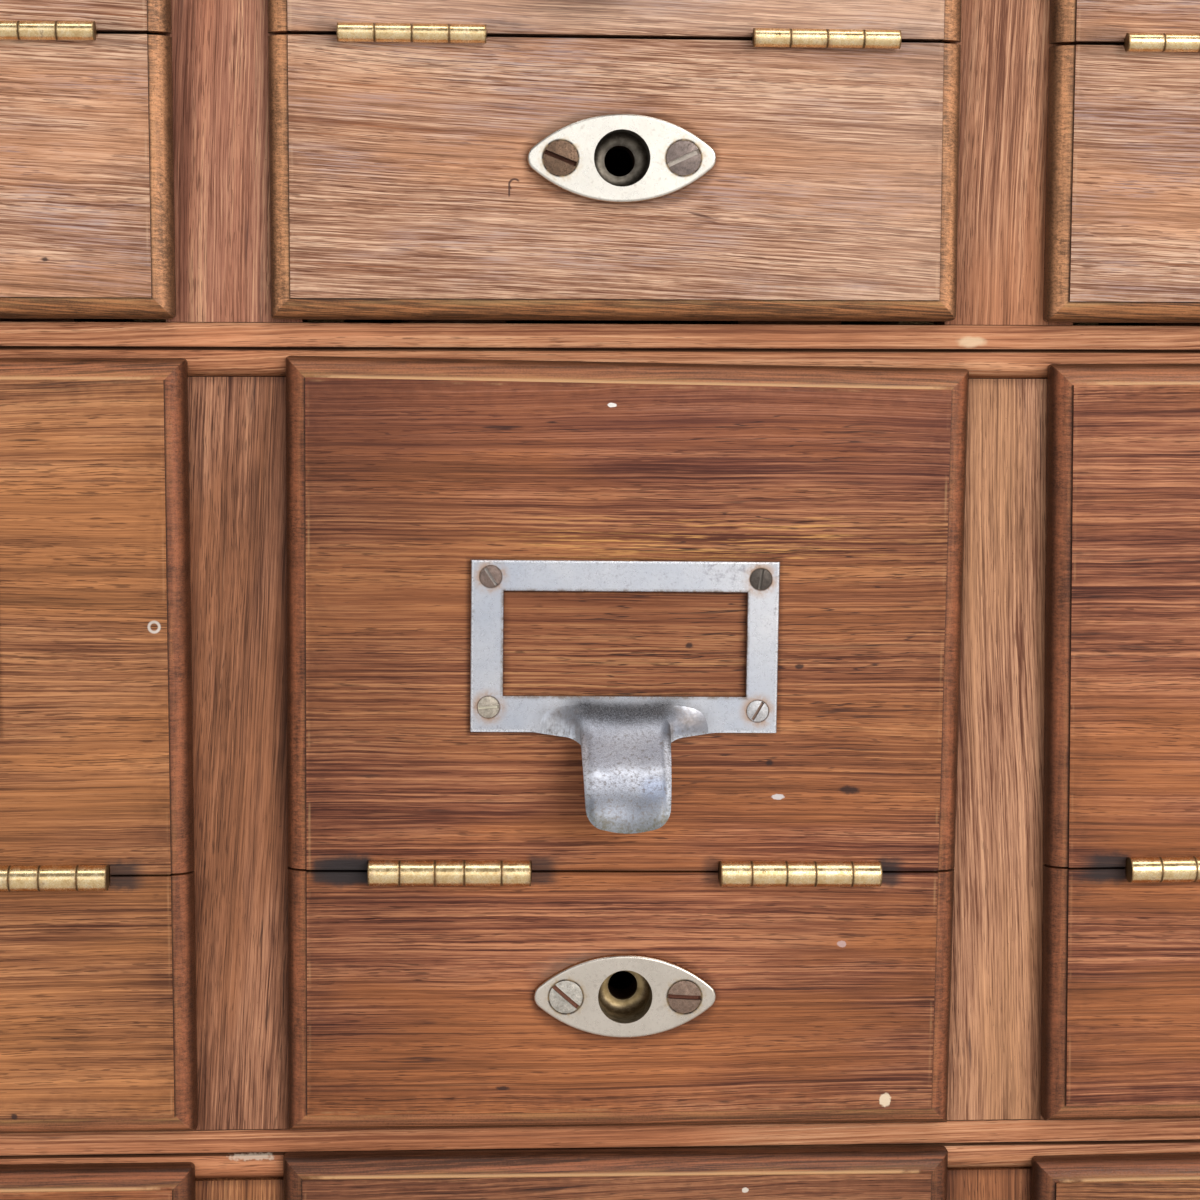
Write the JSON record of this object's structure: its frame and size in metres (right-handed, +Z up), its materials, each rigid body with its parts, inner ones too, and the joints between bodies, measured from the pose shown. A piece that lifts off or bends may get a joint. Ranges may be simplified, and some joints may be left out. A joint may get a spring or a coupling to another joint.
{
  "type": "filing cabinet",
  "caption": "Oak card-index filing cabinet with drawers whose hinged drop fronts carry label-holder pulls above brass hinges and oval rod plates.",
  "frame": {"origin": "bottom centre of the whole cabinet, pulls and top overhang included", "axes": "+X to the right seen from the front, the drawer fronts face -Y, +Z up"},
  "size_m": [0.651, 0.4503, 0.724],
  "materials": {
    "oak_front": "aged oiled oak, horizontal grain",
    "oak_frame": "aged oiled oak rails and stiles",
    "oak_case": "aged oiled oak",
    "drawer_wood": "bare dry wood",
    "inner_wood": "bare pine",
    "plated_brass": "worn plated brass castings, brass hinges and slotted screws",
    "screw_steel": "dull slotted screws"
  },
  "bodies": {
    "carcass": {"back_boards": "inner_wood", "back_cleat": "inner_wood", "back_screws": "screw_steel", "base_board": "inner_wood", "drawer_guides": "inner_wood", "drawer_runners": "inner_wood", "drawer_stops": "inner_wood", "face_stiles": "oak_frame", "front_rails": "oak_frame", "partitions": "inner_wood", "plinth": "oak_case", "plinth_bearers": "inner_wood", "side_frames": "oak_case", "side_panels": "oak_case", "top_board": "oak_case"},
    "drawer_r1c1": {"drawer_box_r1c1": "drawer_wood", "lower_front_r1c1": "oak_front", "lower_fittings_r1c1": "plated_brass"},
    "drop_r1c1": {"drop_front_r1c1": "oak_front", "drop_fittings_r1c1": "plated_brass"},
    "drawer_r1c2": {"drawer_box_r1c2": "drawer_wood", "lower_front_r1c2": "oak_front", "lower_fittings_r1c2": "plated_brass"},
    "drop_r1c2": {"drop_front_r1c2": "oak_front", "drop_fittings_r1c2": "plated_brass"},
    "drawer_r1c3": {"drawer_box_r1c3": "drawer_wood", "lower_front_r1c3": "oak_front", "lower_fittings_r1c3": "plated_brass"},
    "drop_r1c3": {"drop_front_r1c3": "oak_front", "drop_fittings_r1c3": "plated_brass"},
    "drawer_r2c1": {"drawer_box_r2c1": "drawer_wood", "lower_front_r2c1": "oak_front", "lower_fittings_r2c1": "plated_brass"},
    "drop_r2c1": {"drop_front_r2c1": "oak_front", "drop_fittings_r2c1": "plated_brass"},
    "drawer_r2c2": {"drawer_box_r2c2": "drawer_wood", "lower_front_r2c2": "oak_front", "lower_fittings_r2c2": "plated_brass"},
    "drop_r2c2": {"drop_front_r2c2": "oak_front", "drop_fittings_r2c2": "plated_brass"},
    "drawer_r2c3": {"drawer_box_r2c3": "drawer_wood", "lower_front_r2c3": "oak_front", "lower_fittings_r2c3": "plated_brass"},
    "drop_r2c3": {"drop_front_r2c3": "oak_front", "drop_fittings_r2c3": "plated_brass"},
    "drawer_r3c1": {"drawer_box_r3c1": "drawer_wood", "lower_front_r3c1": "oak_front", "lower_fittings_r3c1": "plated_brass"},
    "drop_r3c1": {"drop_front_r3c1": "oak_front", "drop_fittings_r3c1": "plated_brass"},
    "drawer_r3c2": {"drawer_box_r3c2": "drawer_wood", "lower_front_r3c2": "oak_front", "lower_fittings_r3c2": "plated_brass"},
    "drop_r3c2": {"drop_front_r3c2": "oak_front", "drop_fittings_r3c2": "plated_brass"},
    "drawer_r3c3": {"drawer_box_r3c3": "drawer_wood", "lower_front_r3c3": "oak_front", "lower_fittings_r3c3": "plated_brass"},
    "drop_r3c3": {"drop_front_r3c3": "oak_front", "drop_fittings_r3c3": "plated_brass"}
  },
  "joints": [
    {"name": "slide_r1c1", "type": "slide", "parent": "carcass", "child": "drawer_r1c1", "axis": [0, -1, 0], "range_m": [0, 0.28]},
    {"name": "hinge_r1c1", "type": "hinge", "parent": "drawer_r1c1", "child": "drop_r1c1", "pos_m": [-0.1905, -0.2044, 0.54435], "axis": [1, 0, 0.0018], "range_deg": [0, 124]},
    {"name": "slide_r1c2", "type": "slide", "parent": "carcass", "child": "drawer_r1c2", "axis": [0, -1, 0], "range_m": [0, 0.28]},
    {"name": "hinge_r1c2", "type": "hinge", "parent": "drawer_r1c2", "child": "drop_r1c2", "pos_m": [0.0005, -0.2044, 0.5445], "axis": [1, 0, -0.0036], "range_deg": [0, 124]},
    {"name": "slide_r1c3", "type": "slide", "parent": "carcass", "child": "drawer_r1c3", "axis": [0, -1, 0], "range_m": [0, 0.28]},
    {"name": "hinge_r1c3", "type": "hinge", "parent": "drawer_r1c3", "child": "drop_r1c3", "pos_m": [0.1905, -0.2044, 0.54425], "axis": [1, 0, 0.0018], "range_deg": [0, 124]},
    {"name": "slide_r2c1", "type": "slide", "parent": "carcass", "child": "drawer_r2c1", "axis": [0, -1, 0], "range_m": [0, 0.28]},
    {"name": "hinge_r2c1", "type": "hinge", "parent": "drawer_r2c1", "child": "drop_r2c1", "pos_m": [-0.1905, -0.2044, 0.34105], "axis": [1, 0, -0.0018], "range_deg": [0, 124]},
    {"name": "slide_r2c2", "type": "slide", "parent": "carcass", "child": "drawer_r2c2", "axis": [0, -1, 0], "range_m": [0, 0.28]},
    {"name": "hinge_r2c2", "type": "hinge", "parent": "drawer_r2c2", "child": "drop_r2c2", "pos_m": [0.0005, -0.2044, 0.341], "axis": [1, 0, -0.0095], "range_deg": [0, 124]},
    {"name": "slide_r2c3", "type": "slide", "parent": "carcass", "child": "drawer_r2c3", "axis": [0, -1, 0], "range_m": [0, 0.28]},
    {"name": "hinge_r2c3", "type": "hinge", "parent": "drawer_r2c3", "child": "drop_r2c3", "pos_m": [0.1905, -0.2044, 0.3412], "axis": [1, 0, 0.0048], "range_deg": [0, 124]},
    {"name": "slide_r3c1", "type": "slide", "parent": "carcass", "child": "drawer_r3c1", "axis": [0, -1, 0], "range_m": [0, 0.28]},
    {"name": "hinge_r3c1", "type": "hinge", "parent": "drawer_r3c1", "child": "drop_r3c1", "pos_m": [-0.1905, -0.2044, 0.1386], "axis": [1, 0, -0.0024], "range_deg": [0, 124]},
    {"name": "slide_r3c2", "type": "slide", "parent": "carcass", "child": "drawer_r3c2", "axis": [0, -1, 0], "range_m": [0, 0.28]},
    {"name": "hinge_r3c2", "type": "hinge", "parent": "drawer_r3c2", "child": "drop_r3c2", "pos_m": [0.0005, -0.2044, 0.1387], "axis": [1, 0, 0.0024], "range_deg": [0, 124]},
    {"name": "slide_r3c3", "type": "slide", "parent": "carcass", "child": "drawer_r3c3", "axis": [0, -1, 0], "range_m": [0, 0.28]},
    {"name": "hinge_r3c3", "type": "hinge", "parent": "drawer_r3c3", "child": "drop_r3c3", "pos_m": [0.1905, -0.2044, 0.13845], "axis": [1, 0, 0.0018], "range_deg": [0, 124]}
  ]
}
